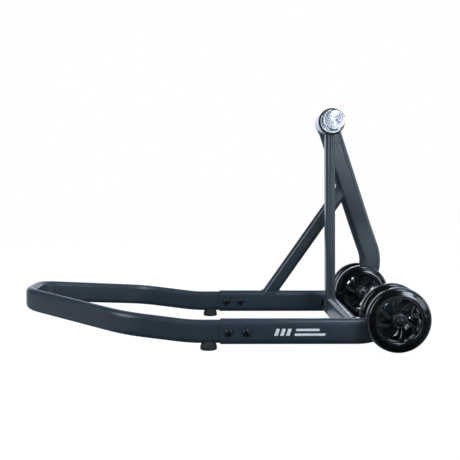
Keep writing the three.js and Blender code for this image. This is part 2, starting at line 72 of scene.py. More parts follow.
FOOT_X = -14.5
LEVER_BOLT_X = (19.5, 49.0)
LEVER_INSERT = 72.0
LEVER_BEND_X, LEVER_BEND_R, LEVER_TAPER = -122.0, 116.0, rad(32.4)
LEVER_CORNER_R = 53.0
LEVER_END_X = -346.8
CLIMB_X, CLIMB_BLEND, CLIMB = -25.4, 40.0, rad(7.21)

# ------------------------------------------------------------------ camera

# place in mm, angles in degrees, focal length in the photo's pixels
CAM = dict(at=(-0.9, -1530.4, 288.1), pitch=3.57, yaw=-0.945, roll=0.11, focal=807.4)
SENSOR, PHOTO_PX = 36.0, 460.0      # sensor width in mm, picture width in pixels
cam_data = bpy.data.cameras.new("photo_camera")
cam_data.sensor_width = SENSOR
cam_data.lens = CAM["focal"] * SENSOR / PHOTO_PX
cam_data.clip_start, cam_data.clip_end = 0.05, 60.0
camera = bpy.data.objects.new("photo_camera", cam_data)
camera.location = Vector(CAM["at"]) * MM
camera.rotation_mode = "XYZ"
camera.matrix_world = (
    Matrix.Translation(Vector(CAM["at"]) * MM)
    @ Matrix.Rotation(rad(CAM["yaw"]), 4, "Z")
    @ Matrix.Rotation(rad(90 - CAM["pitch"]), 4, "X")
    @ Matrix.Rotation(rad(CAM["roll"]), 4, "Z")
)
bpy.context.scene.collection.objects.link(camera)
bpy.context.scene.camera = camera
bpy.context.scene.view_settings.view_transform = "Standard"

# ------------------------------------------------------------------ materials


class Nodes:
    """Short calls for building a material's node tree."""

    def __init__(self, name):
        self.material = bpy.data.materials.new(name)
        self.material.use_nodes = True
        self.tree = self.material.node_tree
        self.shader = self.tree.nodes["Principled BSDF"]
        self.where = self.add("ShaderNodeTexCoord").outputs["Object"]

    def add(self, kind, **values):
        node = self.tree.nodes.new(kind)
        for key, value in values.items():
            setattr(node, key, value)
        return node

    def link(self, output, socket):
        self.tree.links.new(output, socket)

    def set(self, **values):
        for key, value in values.items():
            self.shader.inputs[key.replace("_", " ")].default_value = value

    def noise(self, scale, detail=3.0, roughness=0.5, stretch=None):
        node = self.add("ShaderNodeTexNoise")
        node.inputs["Scale"].default_value = scale
        node.inputs["Detail"].default_value = detail
        node.inputs["Roughness"].default_value = roughness
        source = self.where
        if stretch:
            mapping = self.add("ShaderNodeMapping")
            mapping.inputs["Scale"].default_value = stretch
            self.link(self.where, mapping.inputs["Vector"])
            source = mapping.outputs["Vector"]
        self.link(source, node.inputs["Vector"])
        return node.outputs["Fac"]

    def wave(self, scale, rings, direction="Y", distortion=0.0):
        node = self.add("ShaderNodeTexWave", wave_type="RINGS" if rings else "BANDS")
        if rings:
            node.rings_direction = direction
        else:
            node.bands_direction = direction
        node.inputs["Scale"].default_value = scale
        node.inputs["Distortion"].default_value = distortion
        node.inputs["Detail"].default_value = 2.0
        node.inputs["Detail Scale"].default_value = 2.0
        self.link(self.where, node.inputs["Vector"])
        return node.outputs["Fac"]

    def ramp(self, fac, low, high, start=0.3, end=0.7):
        node = self.add("ShaderNodeValToRGB")
        node.color_ramp.elements[0].position = start
        node.color_ramp.elements[1].position = end
        node.color_ramp.elements[0].color = (*low, 1)
        node.color_ramp.elements[1].color = (*high, 1)
        self.link(fac, node.inputs["Fac"])
        return node.outputs["Color"]

    def span(self, fac, low, high, start=0.3, end=0.7):
        node = self.add("ShaderNodeMapRange")
        node.inputs["From Min"].default_value = start
        node.inputs["From Max"].default_value = end
        node.inputs["To Min"].default_value = low
        node.inputs["To Max"].default_value = high
        self.link(fac, node.inputs["Value"])
        return node.outputs["Result"]

    def math(self, operation, a, b):
        node = self.add("ShaderNodeMath", operation=operation)
        for socket, value in zip(node.inputs, (a, b)):
            if isinstance(value, (int, float)):
                socket.default_value = value
            else:
                self.link(value, socket)
        return node.outputs["Value"]

    def bump(self, height, strength, distance, below=None):
        node = self.add("ShaderNodeBump")
        node.inputs["Strength"].default_value = strength
        node.inputs["Distance"].default_value = distance
        self.link(height, node.inputs["Height"])
        if below is not None:
            self.link(below, node.inputs["Normal"])
        return node.outputs["Normal"]

    def colour(self, output):
        self.link(output, self.shader.inputs["Base Color"])

    def rough(self, output):
        self.link(output, self.shader.inputs["Roughness"])

    def normal(self, output):
        self.link(output, self.shader.inputs["Normal"])


def make_paint():
    """Satin slate-black powder coat: faint colour cloud, orange peel and a fine grain."""
    n = Nodes("frame_paint")
    cloud = n.noise(22, 4)
    n.colour(n.ramp(cloud, (0.0250, 0.0365, 0.0480), (0.0310, 0.0440, 0.0570)))
    n.rough(n.span(n.noise(70, 4), 0.29, 0.36))
    peel = n.bump(n.noise(420, 2), 0.10, 0.0004)
    n.normal(n.bump(n.noise(2200, 3, 0.6), 0.10, 0.00008, peel))
    n.set(Metallic=0.0, IOR=1.5)
    return n.material


def make_turned_steel(name, dark, bright):
    """Turned steel: fine tool rings, a soft radial sheen."""
    n = Nodes(name)
    n.colour(n.ramp(n.noise(60, 3), dark, bright))
    rings = n.wave(210, True, "Y", 0.2)
    bands = n.wave(210, False, "Y", 0.2)
    tool = n.math("ADD", rings, bands)
    n.rough(n.span(n.noise(110, 3, 0.6, (1, 14, 1)), 0.33, 0.38))
    n.normal(n.bump(tool, 0.03, 0.00003))
    tangent = n.add("ShaderNodeTangent", direction_type="RADIAL", axis="Y")
    n.link(tangent.outputs["Tangent"], n.shader.inputs["Tangent"])
    n.set(Metallic=1.0, Anisotropic=0.75)
    return n.material


def make_zinc():
    """Zinc-plated hardware, slightly blotchy."""
    n = Nodes("zinc_hardware")
    n.colour(n.ramp(n.noise(260, 4, 0.6), (0.13, 0.135, 0.14), (0.24, 0.245, 0.25)))
    n.rough(n.span(n.noise(420, 3), 0.28, 0.45))
    n.normal(n.bump(n.noise(1500, 3), 0.12, 0.00006))
    n.set(Metallic=1.0)
    return n.material


def make_black_steel():
    """Black-oxide screws: dark, slightly oily, with a fine tumbled grain."""
    n = Nodes("black_hardware")
    n.colour(n.ramp(n.noise(300, 4, 0.6), (0.010, 0.011, 0.013), (0.030, 0.031, 0.034)))
    n.rough(n.span(n.noise(500, 3), 0.24, 0.38))
    n.normal(n.bump(n.noise(2600, 3), 0.16, 0.00005))
    n.set(Metallic=0.55)
    return n.material


def make_bearing_steel():
    """Ground bearing rings."""
    n = Nodes("bearing_steel")
    n.colour(n.ramp(n.noise(200, 2), (0.10, 0.102, 0.106), (0.17, 0.173, 0.18)))
    n.rough(n.span(n.noise(600, 3, 0.5, (1, 9, 1)), 0.12, 0.22))
    n.normal(n.bump(n.wave(900, True, "Y", 0.2), 0.06, 0.00003))
    n.set(Metallic=1.0)
    return n.material


def make_tyre():
    """Glossy black urethane: faint mould swirl on the walls, duller on the running band."""
    n = Nodes("tyre")
    n.colour(n.ramp(n.noise(40, 3), (0.0030, 0.0032, 0.0036), (0.0060, 0.0064, 0.0070)))
    split = n.add("ShaderNodeSeparateXYZ")
    n.link(n.where, split.inputs[0])
    square = n.math("ADD", n.math("MULTIPLY", split.outputs["X"], split.outputs["X"]),
                    n.math("MULTIPLY", split.outputs["Z"], split.outputs["Z"]))
    out = n.math("SQRT", square, 0.0)
    band = n.span(out, 0.0, 0.14, 0.0525, 0.0545)
    n.rough(n.math("ADD", band, n.span(n.noise(120, 4, 0.6), 0.10, 0.20)))
    swirl = n.bump(n.wave(240, True, "Y", 0.6), 0.02, 0.00005)
    n.normal(n.bump(n.noise(700, 3), 0.05, 0.00008, swirl))
    n.set(Metallic=0.0, IOR=1.5, Coat_Weight=0.35, Coat_Roughness=0.06)
    return n.material


def make_core_plastic():
    """Glossy moulded black polymer, with flow marks."""
    n = Nodes("wheel_core")
    n.colour(n.ramp(n.noise(90, 4), (0.0045, 0.0048, 0.0052), (0.0100, 0.0104, 0.0112)))
    n.rough(n.span(n.noise(160, 4, 0.6), 0.16, 0.30))
    n.normal(n.bump(n.noise(900, 3, 0.6), 0.12, 0.00008))
    n.set(Metallic=0.0, IOR=1.52)
    return n.material


def make_rubber(name="rubber", rough=(0.62, 0.80)):
    """Dull black rubber with a fine pebble."""
    n = Nodes(name)
    n.colour(n.ramp(n.noise(120, 4), (0.0065, 0.0068, 0.0072), (0.0140, 0.0145, 0.0150)))
    n.rough(n.span(n.noise(240, 4), *rough))
    n.normal(n.bump(n.noise(1700, 3, 0.6), 0.30, 0.00010))
    n.set(Metallic=0.0, IOR=1.5)
    return n.material


def make_nylon():
    """Moulded dark nylon with a spark-eroded grain."""
    n = Nodes("nylon")
    n.colour(n.ramp(n.noise(150, 3), (0.010, 0.011, 0.012), (0.018, 0.019, 0.021)))
    n.rough(n.span(n.noise(300, 3), 0.45, 0.60))
    n.normal(n.bump(n.noise(2400, 3, 0.7), 0.35, 0.00008))
    n.set(Metallic=0.0, IOR=1.52)
    return n.material


def make_mark():
    """White printed film with a slightly uneven ink."""
    n = Nodes("mark_film")
    n.colour(n.ramp(n.noise(900, 4, 0.7), (0.74, 0.76, 0.79), (0.86, 0.87, 0.89)))
    n.rough(n.span(n.noise(300, 3), 0.32, 0.42))
    n.normal(n.bump(n.noise(1800, 2), 0.05, 0.00003))
    n.set(Metallic=0.0)
    return n.material


def make_floor():
    """Pale seamless paper."""
    n = Nodes("floor_paper")
    n.colour(n.ramp(n.noise(3, 2), (0.115, 0.115, 0.115), (0.125, 0.125, 0.125)))
    n.rough(n.span(n.noise(9, 2), 0.85, 0.95))
    n.set(Metallic=0.0, Emission_Color=(1, 1, 1, 1), Emission_Strength=0.965)
    n.set(Specular_IOR_Level=0.0)
    return n.material


PAINT = make_paint()
STEEL = make_turned_steel("turned_steel", (0.66, 0.68, 0.71), (0.80, 0.82, 0.85))
SLEEVE = make_turned_steel("sleeve_steel", (0.34, 0.34, 0.37), (0.46, 0.46, 0.50))
ZINC = make_zinc()
BLACK = make_black_steel()
BEARING = make_bearing_steel()
TYRE = make_tyre()
CORE = make_core_plastic()
RUBBER = make_rubber()
SEAL = make_rubber("bearing_seal", (0.34, 0.50))
NYLON = make_nylon()
MARK = make_mark()
FLOOR = make_floor()

# ------------------------------------------------------------------ mesh tools


def mesh_object(name, verts, faces, material, sharp=38.0, at=(0, 0, 0)):
    """A mesh object from millimetre points, smooth but for edges sharper than `sharp` degrees."""
    data = bpy.data.meshes.new(name)
    data.from_pydata([(x * MM, y * MM, z * MM) for x, y, z in verts], [], faces)
    return dressed(name, data, material, sharp, at)


def dressed(name, data, material, sharp=38.0, at=(0, 0, 0)):
    """Cleans a mesh, sets its smooth and sharp edges, and puts it in the scene at a point (mm)."""
    bm = bmesh.new()
    bm.from_mesh(data)
    bmesh.ops.remove_doubles(bm, verts=bm.verts, dist=1e-6)
    bmesh.ops.recalc_face_normals(bm, faces=bm.faces)
    for face in bm.faces:
        face.smooth = True
    for edge in bm.edges:
        edge.smooth = not (edge.is_manifold and edge.calc_face_angle(0) > rad(sharp))
    bm.to_mesh(data)
    bm.free()
    data.materials.clear()
    data.materials.append(material)
    obj = bpy.data.objects.new(name, data)
    obj.location = Vector(at) * MM
    bpy.context.scene.collection.objects.link(obj)
    return obj


def rounded(corners, default=0.5, steps=4):
    """A closed outline with its corners rounded; a corner is (x, y) or (x, y, radius)."""
    out, count = [], len(corners)
    for i, corner in enumerate(corners):
        p = Vector(corner[:2])
        radius = corner[2] if len(corner) > 2 else default
        a = Vector(corners[i - 1][:2]) - p
        b = Vector(corners[(i + 1) % count][:2]) - p
        if radius <= 0 or a.length < 1e-6 or b.length < 1e-6:
            out.append(tuple(p))
            continue
        la, lb = a.length, b.length
        a.normalize()
        b.normalize()
        half = math.acos(max(-1, min(1, a.dot(b)))) / 2
        if half > math.pi / 2 - 0.02 or half < 0.02:
            out.append(tuple(p))
            continue
        reach = min(radius / math.tan(half), 0.48 * la, 0.48 * lb)
        start, end = p + a * reach, p + b * reach
        for k in range(steps + 1):
            t = k / steps
            out.append(tuple(start * (1 - t) ** 2 + p * (2 * t * (1 - t)) + end * t ** 2))
    return out


def lathe(name, outline, material, sides=96, at=(0, 0, 0), sharp=38.0):
    """A closed (radius, y) outline turned about Y. Points on the axis share one vertex."""
    verts, rows = [], []
    for r, y in outline:
        if r < 1e-6:
            rows.append([len(verts)] * sides)
            verts.append((0.0, y, 0.0))
            continue
        rows.append([len(verts) + k for k in range(sides)])
        for k in range(sides):
            a = 2 * math.pi * k / sides
            verts.append((r * math.cos(a), y, r * math.sin(a)))
    faces = []
    for i, low in enumerate(rows):
        high = rows[(i + 1) % len(rows)]
        for k in range(sides):
            face = [low[k], low[(k + 1) % sides], high[(k + 1) % sides], high[k]]
            face = list(dict.fromkeys(face))
            if len(face) > 2:
                faces.append(face)
    return mesh_object(name, verts, faces, material, sharp, at)


def stadium(height, thickness, arc=14, flat=4):
    """Flat-sided oval as (across, up) pairs, starting at the middle of the top."""
    r, a = thickness / 2, height / 2 - thickness / 2
    points = []
    for k in range(arc + 1):
        t = math.pi / 2 - math.pi / 2 * k / arc
        points.append((r * math.cos(t), a + r * math.sin(t)))
    points += [(r, a - 2 * a * k / flat) for k in range(1, flat)]
    for k in range(2 * arc + 1):
        t = -math.pi * k / (2 * arc)
        points.append((r * math.cos(t), -a + r * math.sin(t)))
    points += [(-r, -a + 2 * a * k / flat) for k in range(1, flat)]
    for k in range(arc):
        t = math.pi - math.pi / 2 * k / arc
        points.append((r * math.cos(t), a + r * math.sin(t)))
    return points


def frames_along(path, hold, axis):
    """(point, across, up) at each station. `axis` keeps the across or the up direction."""
    out = []
    for i, point in enumerate(path):
        before = point - path[i - 1] if i else path[1] - point
        after = path[i + 1] - point if i + 1 < len(path) else point - path[i - 1]
        t = (before.normalized() + after.normalized()).normalized()
        kept = (axis - axis.dot(t) * t).normalized()
        if hold == "across":
            out.append((point, kept, t.cross(kept)))
        else:
            out.append((point, kept.cross(t), kept))
    return out


LIP = 0.6                                   # chamfer round the end of a cut tube


def tube(name, path, size, hold, axis, material=PAINT, grow=0.0, hollow=True):
    """A swept oval tube with open, chamfered ends; `path` is in millimetres."""
    height, thickness, wall = size
    stations = frames_along(path, hold, Vector(axis))
    outer = stadium(height + 2 * grow, thickness + 2 * grow)
    lip = stadium(height + 2 * grow - 2 * LIP, thickness + 2 * grow - 2 * LIP)
    inner = stadium(height - 2 * wall, thickness - 2 * wall)
    first, last = stations[0], stations[-1]
    step_in = (path[1] - path[0]).normalized() * LIP
    step_out = (path[-1] - path[-2]).normalized() * LIP

    def row(station, outline, shift=Vector((0, 0, 0))):
        point, across, up = station
        return [point + shift + across * a + up * u for a, u in outline]

    rows = [row(first, lip), row(first, outer, step_in)]
    rows += [row(s, outer) for s in stations[1:-1]]
    rows += [row(last, outer, -step_out), row(last, lip)]
    if hollow:
        rows += [row(s, inner) for s in reversed(stations)]
    count = len(outer)
    verts = [tuple(p) for r in rows for p in r]
    faces = []
    for i in range(len(rows) if hollow else len(rows) - 1):
        low, high = i * count, (i + 1) % len(rows) * count
        for k in range(count):
            j = (k + 1) % count
            faces.append((low + k, low + j, high + j, high + k))
    if not hollow:
        faces.append(tuple(range(count)))
        faces.append(tuple(range((len(rows) - 1) * count, len(rows) * count)))
    return mesh_object(name, verts, faces, material)


def shaped(obj, operation, *others):
    """Applies solid cuts or joins to obj and removes the tools."""
    for other in others:
        step = obj.modifiers.new("step", "BOOLEAN")
        step.operation = operation
        step.solver = "MANIFOLD"
        step.object = other
    graph = bpy.context.evaluated_depsgraph_get()
    data = bpy.data.meshes.new_from_object(obj.evaluated_get(graph))
    name, material, place = obj.name, obj.data.materials[0], obj.location.copy() / MM
    for gone in (obj, *others):
        old = gone.data
        bpy.data.objects.remove(gone)
        bpy.data.meshes.remove(old)
    data.name = name
    return dressed(name, data, material, at=place)


def tree_of(obj):
    graph = bpy.context.evaluated_depsgraph_get()
    bpy.context.view_layer.update()
    return BVHTree.FromObject(obj, graph)


def seam_on(target, ring, towards, back=60.0):
    """Where a tube's outline, pushed along `towards`, meets the target piece (mm)."""
    tree = tree_of(target)
    offset = target.matrix_world.translation
    points = []
    for p in ring:
        start = (p - towards * back) * MM - offset
        hit = tree.ray_cast(start, towards)
        if hit[0] is not None:
            points.append((hit[0] + offset) / MM)
    return points


def bead(name, loop, radius=2.2, ripple=0.13, pitch=2.4, sides=10):
    """A rippled weld bead along a closed loop of points (mm)."""
    lengths = [0.0]
    pts = loop + [loop[0]]
    for a, b in zip(pts, pts[1:]):
        lengths.append(lengths[-1] + (b - a).length)
    total = lengths[-1]
    count = max(24, int(total / (pitch / 4)))
    count -= count % 4
    path, j = [], 0
    for i in range(count):
        s = total * i / count
        while lengths[j + 1] < s:
            j += 1
        t = (s - lengths[j]) / max(1e-9, lengths[j + 1] - lengths[j])
        path.append(pts[j].lerp(pts[j + 1], t))
    for _ in range(3):
        path = [(path[i - 1] + path[i] * 2 + path[(i + 1) % count]) / 4 for i in range(count)]
    verts, faces = [], []
    for i, p in enumerate(path):
        t = (path[(i + 1) % count] - path[i - 1]).normalized()
        side = t.cross(Vector((0.3, 0.2, 0.93))).normalized()
        up = side.cross(t)
        r = radius * (1 + ripple * math.cos(2 * math.pi * i / 4) + 0.06 * math.sin(i * 0.7))
        for k in range(sides):
            a = 2 * math.pi * k / sides
            verts.append(tuple(p + side * (r * math.cos(a)) + up * (r * math.sin(a))))
    for i in range(count):
        for k in range(sides):
            j, n = (k + 1) % sides, (i + 1) % count
            faces.append((i * sides + k, i * sides + j, n * sides + j, n * sides + k))
    return mesh_object(name, verts, faces, PAINT, sharp=80)


def ring_at(path, index, size, hold, axis, arc=20, flat=10):
    """A tube's outline points (mm) at one station of its path."""
    point, across, up = frames_along(path, hold, Vector(axis))[index]
    return [point + across * a + up * u for a, u in stadium(size[0], size[1], arc, flat)]


def placed(obj, body, slot, *nodes):
    """Puts a piece on the body it rides on and hides the CAD nodes it replaces. The slot argument is not
    used.
    """
    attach(obj, body)
    if nodes:
        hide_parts(*nodes)
    return obj


# ------------------------------------------------------------------ frame tubes

STEP = rad(2.5)


def arc_angles(start, end):
    count = max(1, math.ceil(abs(end - start) / STEP))
    return [start + (end - start) * i / count for i in range(count + 1)]


def eased(distance, width):
    if distance <= 0:
        return 0.0
    return distance * distance / (2 * width) if distance < width else distance - width / 2


def bend_point(angle, y):
    return Vector((BEND_X + BEND_R * math.sin(angle), y, BEND_Z - BEND_R * math.cos(angle)))


def rail_path(y, sweep):
    straight = [Vector((x, y, RAIL_Z)) for x in (JOINT_X, 60, 120, 180)]
    return straight + [bend_point(a, y) for a in arc_angles(0, sweep)]


ARM_SWEEP = math.pi / 2 + ARM_LEAN
arm_start = bend_point(ARM_SWEEP, SIDE_Y)
ARM_LENGTH = (PIN_Z - arm_start.z) / math.cos(ARM_LEAN) - 10


def arm_point(d):
    return Vector((arm_start.x - d * math.sin(ARM_LEAN),
                   SIDE_Y - ARM_INWARD * eased(d - ARM_START, ARM_BLEND),
                   arm_start.z + d * math.cos(ARM_LEAN)))


def receiver_bar():
    """A bar a little thinner than the receiver and longer at both ends, to cut a tube's end to."""
    ends = [(0, 60), (RECEIVER_SEAT_R, 60), (RECEIVER_SEAT_R, 160), (0, 160)]
    return lathe("receiver_bar", ends, PAINT, at=(PIN_X, 0, PIN_Z))


near_path = rail_path(-SIDE_Y, NEAR_SWEEP)
far_path = rail_path(SIDE_Y, ARM_SWEEP)
far_path += [arm_point(d) for d in (10, 20, 30, 40, 50, 60, 70, 100, 150, 200, ARM_LENGTH)]

near_rail = placed(tube("near_rail", near_path, OVAL, "across", (0, 1, 0)),
                   "root", "frame_paint", "near_side_tube")
far_rail = tube("far_rail", far_path, OVAL, "across", (0, 1, 0))
far_rail = placed(shaped(far_rail, "DIFFERENCE", receiver_bar()), "root", "frame_paint", "far_side_tube")

INNER_FACE = SIDE_Y - OVAL[1] / 2


def cross_path(*ys):
    return [Vector((CROSS_X, y, RAIL_Z)) for y in ys]


beam_path = cross_path(-INNER_FACE - 2, -60, 0, SEAM_Y - 0.35)
stub_path = cross_path(SEAM_Y + 0.35, 110, INNER_FACE + 2)
placed(tube("cross_beam", beam_path, OVAL, "across", (-1, 0, 0)),
       "root", "frame_paint", "cross_tube")
cross_socket = placed(tube("cross_socket", stub_path, OVAL, "across", (-1, 0, 0)),
                      "root", "frame_paint", "cross_stub")

post_foot, post_head = Vector((POST_FOOT_X, POST_Y, RAIL_Z + 12)), Vector((PIN_X, POST_Y, PIN_Z))
post_path = [post_foot, post_foot.lerp(post_head, 0.5), post_head]
upright = tube("upright", post_path, POST, "across", (1, 0, 0))
upright = placed(shaped(upright, "DIFFERENCE", receiver_bar()), "root", "frame_paint", "post_tube")

brace_foot = Vector((BRACE_FOOT_X, SIDE_Y, RAIL_Z + OVAL[0] / 2))
brace_dir = Vector((math.cos(BRACE_RISE), 0, math.sin(BRACE_RISE)))
arm_dir = Vector((-math.sin(ARM_LEAN), 0, math.cos(ARM_LEAN)))
meets = (((arm_start.x - brace_foot.x) * brace_dir.z - (arm_start.z - brace_foot.z) * brace_dir.x)
         / (arm_dir.z * brace_dir.x - arm_dir.x * brace_dir.z))
brace_top = arm_point(meets)
brace_start = brace_foot + (brace_foot - brace_top) * (14 / (brace_top.z - brace_foot.z))
brace_path = [brace_start, brace_foot.lerp(brace_top, 0.5), brace_top]
placed(tube("diagonal", brace_path, STRUT, "across", (0, 1, 0)),
       "root", "frame_paint", "brace_tube")

# ------------------------------------------------------------------ hand lever


def lever_height(x):
    return RAIL_Z + math.tan(CLIMB) * eased(CLIMB_X - x, CLIMB_BLEND)


def lever_half():
    plan = [(JOINT_X + LEVER_INSERT, -SIDE_Y), (40, -SIDE_Y), (0, -SIDE_Y)]
    plan += [(CLIMB_X - CLIMB_BLEND * i / 8, -SIDE_Y) for i in range(9)]
    plan.append((-95, -SIDE_Y))
    for a in arc_angles(0, LEVER_TAPER):
        plan.append((LEVER_BEND_X - LEVER_BEND_R * math.sin(a),
                     -SIDE_Y + LEVER_BEND_R * (1 - math.cos(a))))
    from_x, from_y = plan[-1]
    corner_x = LEVER_END_X + LEVER_CORNER_R * (1 - math.sin(LEVER_TAPER))
    corner_y = from_y + (from_x - corner_x) * math.tan(LEVER_TAPER)
    plan.append(((from_x + corner_x) / 2, (from_y + corner_y) / 2))
    for a in arc_angles(LEVER_TAPER, math.pi / 2):
        plan.append((corner_x + LEVER_CORNER_R * (math.sin(LEVER_TAPER) - math.sin(a)),
                     corner_y + LEVER_CORNER_R * (math.cos(LEVER_TAPER) - math.cos(a))))
    return [Vector((x, y, lever_height(x))) for x, y in plan]


half = lever_half()
lever_path = half + [Vector((p.x, -p.y, p.z)) for p in reversed(half)]
placed(tube("hand_lever", lever_path, LEVER, "up", (0, 0, 1)),
       "root", "frame_paint", "lever_tube")

# ------------------------------------------------------------------ receiver and pin

at_pin = (PIN_X, 0, PIN_Z)
receiver = lathe("receiver_sleeve", rounded([
    (RECEIVER_BORE, RECEIVER_FROM, 0.8), (RECEIVER_R, RECEIVER_FROM, 1.0),
    (RECEIVER_R, RECEIVER_TO, 1.0), (RECEIVER_BORE, RECEIVER_TO, 0.8)]), SLEEVE, at=at_pin)
placed(receiver, "root", "turned_steel", "receiver_tube")
pin = lathe("pin_turned", [(0, PIN_FACE_Y + 0.9), (1.6, PIN_FACE_Y + 0.5)] + rounded([
    (2.6, PIN_FACE_Y, 0.4), (NOSE_R - 1.6, PIN_FACE_Y, 0.5), (NOSE_R, PIN_FACE_Y + 1.6, 0.5),
    (NOSE_R, 61, 0.2), (19.2, 61.5, 0.2), (19.2, 62.2, 0.2), (22.5, 62.2, 0.4),
    (SHOULDER_R, 63.1, 0.4), (SHOULDER_R, 66.4, 0.4), (22.7, 67, 0.3), (SHAFT_R, 67, 0.2),
    (SHAFT_R, 116.2, 0.2), (11.8, 116.2, 0.2), (11.8, 119.8, 0.2), (SHAFT_R, 119.8, 0.2),
    (SHAFT_R, 136, 0.4), (12, 138, 0.4)])[1:] + [(0, 138)], STEEL, 128, at=at_pin, sharp=30)
placed(pin, "pin", "turned_steel", "lifting_pin")
washer = lathe("pin_washer", rounded([
    (14.3, 67.3, 0.5), (PIN_WASHER_R, 67.3, 1.6), (PIN_WASHER_R, 73.7, 1.6), (14.3, 73.7, 0.5)]),
    RUBBER, at=at_pin)
placed(washer, "pin_carrier", "rubber", "pin_ring")
turns = [a * math.pi / 8 for a in range(16)]
o_ring = [(12.95 + 0.95 * math.cos(t), 118 + 1.2 * math.sin(t)) for t in turns]
seal = lathe("pin_o_ring", o_ring, RUBBER, at=at_pin)
placed(seal, "pin_carrier", "rubber", "pin_seal")

# ------------------------------------------------------------------ welds


def weld(name, target, path, index, size, hold, axis, towards, radius=1.6, back=60.0):
    loop = seam_on(target, ring_at(path, index, size, hold, axis), Vector(towards).normalized(), back)
    return placed(bead(name, loop, radius), "root", "frame_paint")


# lower than the side tube, so that every ray from this outline meets it
LOW_OVAL = (OVAL[0] - 6, OVAL[1] + 1)
weld("weld_beam_near", near_rail, beam_path, 0, LOW_OVAL, "across", (-1, 0, 0), (0, -1, 0), 1.5, 30)
weld("weld_socket_far", far_rail, stub_path, -1, LOW_OVAL, "across", (-1, 0, 0), (0, 1, 0), 1.5, 30)
weld("weld_upright_foot", cross_socket, post_path, 0, POST, "across", (1, 0, 0), post_foot - post_head, 1.8)
weld("weld_upright_head", receiver, post_path, -1, POST, "across", (1, 0, 0), post_head - post_foot, 1.4)
weld("weld_arm_head", receiver, far_path, -1, OVAL, "across", (0, 1, 0), far_path[-1] - far_path[-2], 1.4, 80)
weld("weld_brace_foot", far_rail, brace_path, 0, STRUT, "across", (0, 1, 0), brace_start - brace_top, 2.2)
weld("weld_brace_head", far_rail, brace_path, -1, STRUT, "across", (0, 1, 0),
     brace_top - brace_start, 1.3, 70)

# ------------------------------------------------------------------ end plug, feet

plug_at = bend_point(NEAR_SWEEP, -SIDE_Y)
plug_dir = Vector((math.cos(NEAR_SWEEP), 0, math.sin(NEAR_SWEEP)))
plug_up = Vector((0, 1, 0)).cross(plug_dir)


def end_plug():
    """A domed oval plug: a short skirt in the tube and a rounded flange over its end."""
    verts, faces = [], []
    rows = [(-8.0, -2.6), (-7.2, -2.05), (0.3, -2.05), (0.3, 0.0), (1.9, 0.0), (2.6, -0.35),
            (3.0, -1.2), (3.25, -3.0), (3.35, -6.0)]
    for out, inset in rows:
        height, thickness = OVAL[0] + 2 * inset, OVAL[1] + 2 * inset
        for a, u in stadium(height, thickness):
            verts.append(tuple(plug_at + plug_dir * out + Vector((0, 1, 0)) * a + plug_up * u))
    count = len(verts) // len(rows)
    for i in range(len(rows) - 1):
        for k in range(count):
            j = (k + 1) % count
            faces.append((i * count + k, i * count + j, (i + 1) * count + j, (i + 1) * count + k))
    faces.append(tuple(range(count)))
    faces.append(tuple(range((len(rows) - 1) * count, len(rows) * count)))
    return mesh_object("end_plug", verts, faces, NYLON)


placed(end_plug(), "root", "nylon", "near_tube_end_cap")


def turned_up(obj):
    """Stands a piece turned about Y upright, its +Y end up."""
    obj.data.transform(Matrix.Rotation(math.pi / 2, 4, "X"))
    return obj


def foot_piece(label, y):
    """A domed rubber foot: chamfered tread, one shallow groove, hollowed on top round the lever."""
    dome = []
    for i in range(13):
        a = math.pi / 2 * i / 12 * 0.92
        dome.append((14.3 * math.cos(a), 4 + 13.5 * math.sin(a)))
    outline = rounded([(6, 0, 0.3), (12.6, 0, 0.5), (14.3, 1.2, 0.6), (14.3, 2.6, 0.2), (13.8, 3.0, 0.2),
                       (13.8, 3.6, 0.2)]) + dome + [(3, 17.2), (3, 5), (6, 5)]
    obj = lathe(f"{label}_foot_pad", outline, RUBBER, at=(FOOT_X, y, 0))
    turned_up(obj)
    path = [Vector((x, y, RAIL_Z)) for x in (FOOT_X - 30, FOOT_X, FOOT_X + 30)]
    bar = tube("foot_cut", path, LEVER, "across", (0, 1, 0), RUBBER, grow=0.25, hollow=False)
    placed(shaped(obj, "DIFFERENCE", bar), "root", "rubber", f"{label}_foot")


for label, y in (("near", -SIDE_Y), ("far", SIDE_Y)):
    foot_piece(label, y)

# ------------------------------------------------------------------ fasteners, modelled along +Y

BUTTON_HEIGHT = 4.4
GAP = 0.3                           # between a tube or hub and the hardware that bears on it
WASHER_T, SEAT_T = 1.6, 1.9         # washer thickness, and the same with the gap


def hex_radius(angle, across):
    """Polar radius of a hexagon."""
    a = (angle + math.pi / 6) % (math.pi / 3) - math.pi / 6
    return across / 2 / math.cos(a)


def polar_solid(name, rows, material, sides=72, sharp=35.0):
    """Rows of (radius function, y function) from the axis round and back to the axis."""
    verts, faces, index = [], [], []
    for radius, height in rows:
        if radius is None:
            index.append([len(verts)] * sides)
            verts.append((0.0, height, 0.0))
            continue
        index.append(list(range(len(verts), len(verts) + sides)))
        for k in range(sides):
            a = 2 * math.pi * k / sides
            r = radius(a) if callable(radius) else radius
            y = height(a) if callable(height) else height
            verts.append((r * math.cos(a), y, r * math.sin(a)))
    for low, high in zip(index, index[1:]):
        for k in range(sides):
            j = (k + 1) % sides
            face = list(dict.fromkeys((low[k], low[j], high[j], high[k])))
            if len(face) > 2:
                faces.append(face)
    obj = mesh_object(name, verts, faces, material, sharp)
    data = obj.data
    bpy.data.objects.remove(obj)
    return data


